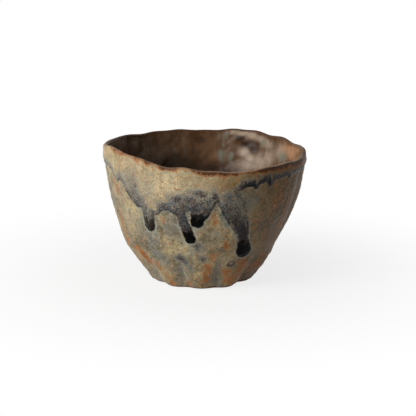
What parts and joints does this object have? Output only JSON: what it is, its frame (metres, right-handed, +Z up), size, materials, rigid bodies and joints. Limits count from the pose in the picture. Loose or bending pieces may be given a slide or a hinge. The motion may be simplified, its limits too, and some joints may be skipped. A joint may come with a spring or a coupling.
{
  "type": "stoneware cup",
  "caption": "Round flared hand-pinched cup with no handle, in stoneware with a run ash glaze, for holding a hot drink.",
  "frame": {"origin": "middle of the foot, on the surface that the cup stands on", "axes": "+Z up through the mouth, -Y towards the side that the picture shows, +X to the right as seen there"},
  "size_m": [0.0944, 0.0946, 0.0655],
  "materials": {
    "clay": "bare fired stoneware, rough",
    "base_glaze": "satin ash glaze, tan with rust spots",
    "liner_glaze": "gloss brown glaze with grey-green streaks",
    "dip_glaze": "satin tan glaze, blue-grey and mottled at its lower edge",
    "lip_glaze": "thin satin glaze, broken to rust brown",
    "drip_glaze": "thick gloss glaze, near black"
  },
  "bodies": {
    "root": {"clay_body": "clay", "base_glaze": "base_glaze", "liner_glaze": "liner_glaze", "dip_glaze": "dip_glaze", "lip_glaze": "lip_glaze", "drip_left": "drip_glaze", "drip_middle_long": "drip_glaze", "drip_middle_short": "drip_glaze", "drip_right": "drip_glaze", "drip_back_right": "drip_glaze", "drip_back_middle": "drip_glaze", "drip_back_left": "drip_glaze"}
  },
  "joints": []
}
